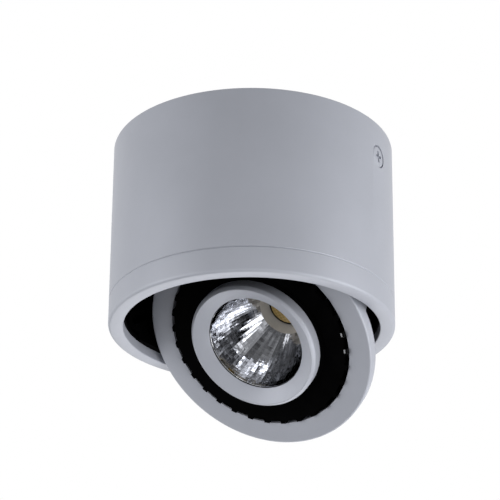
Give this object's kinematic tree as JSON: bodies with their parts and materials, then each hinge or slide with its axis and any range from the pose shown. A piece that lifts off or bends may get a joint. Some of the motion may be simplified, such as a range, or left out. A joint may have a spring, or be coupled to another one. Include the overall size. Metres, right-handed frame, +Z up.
{
  "type": "surface mounted ceiling spotlight",
  "caption": "Round ceiling spotlight with a matt silver housing and trim ring, and a recessed toothed black lamp head with a faceted reflector that swivels and tilts out.",
  "frame": {"origin": "centre of the ceiling plate's upper face, on the housing's axis and in the plane of the ceiling", "axes": "+Z up along the housing's axis, towards the ceiling; -Y is the front, from which the lamp is seen; the lamp's beam leaves down, to the front and towards -X"},
  "size_m": [0.12, 0.12, 0.1184],
  "materials": {
    "zinc_steel": "zinc plated",
    "black_rubber": "matt",
    "white_nylon": "natural nylon",
    "zinc_screws": "zinc plated",
    "driver_plastic": "matt",
    "silver_paint": "fine matt silver-grey paint",
    "side_screw_steel": "bright zinc",
    "spring_steel": "bare spring steel",
    "black_paint": "matt black",
    "pin_steel": "bright",
    "friction_plastic": "acetal",
    "black_anodised": "black anodised",
    "metallised": "polished facets",
    "holder_plastic": "satin",
    "board_aluminium": "white solder mask",
    "phosphor": "silicone over phosphor",
    "pad_rubber": "matt"
  },
  "bodies": {
    "housing": {"ceiling_plate": "zinc_steel", "side_lugs": "zinc_steel", "cable_grommet": "black_rubber", "terminal_block": "white_nylon", "terminal_screws": "zinc_screws", "earth_screw": "zinc_screws", "driver_base": "driver_plastic", "driver_cover": "driver_plastic", "driver_screws": "zinc_screws", "housing_tube": "silver_paint", "side_screws": "side_screw_steel", "trim_ring": "silver_paint", "glide_ring": "white_nylon", "retaining_ring": "spring_steel"},
    "turntable": {"turntable": "black_paint"},
    "head": {"swing_ring": "silver_paint", "pivot_pins": "pin_steel", "friction_washers": "friction_plastic", "spring_washers": "spring_steel", "heat_sink": "black_anodised", "cooling_fins": "black_anodised", "shade_ring": "black_anodised", "sink_screws": "side_screw_steel", "spring_clip": "spring_steel", "bezel_ring": "silver_paint", "reflector": "metallised", "led_holder": "holder_plastic", "led_board": "board_aluminium", "led_phosphor": "phosphor", "thermal_pad": "pad_rubber"}
  },
  "joints": [
    {"name": "swivel", "type": "hinge", "parent": "housing", "child": "turntable", "pos_m": [0, 0, -0.0776], "axis": [0, 0, 1], "range_deg": [-175, 175]},
    {"name": "tilt", "type": "hinge", "parent": "turntable", "child": "head", "pos_m": [0, 0, -0.0905], "axis": [-0.8039, 0.5948, 0], "range_deg": [-42.6, 2.4]}
  ]
}
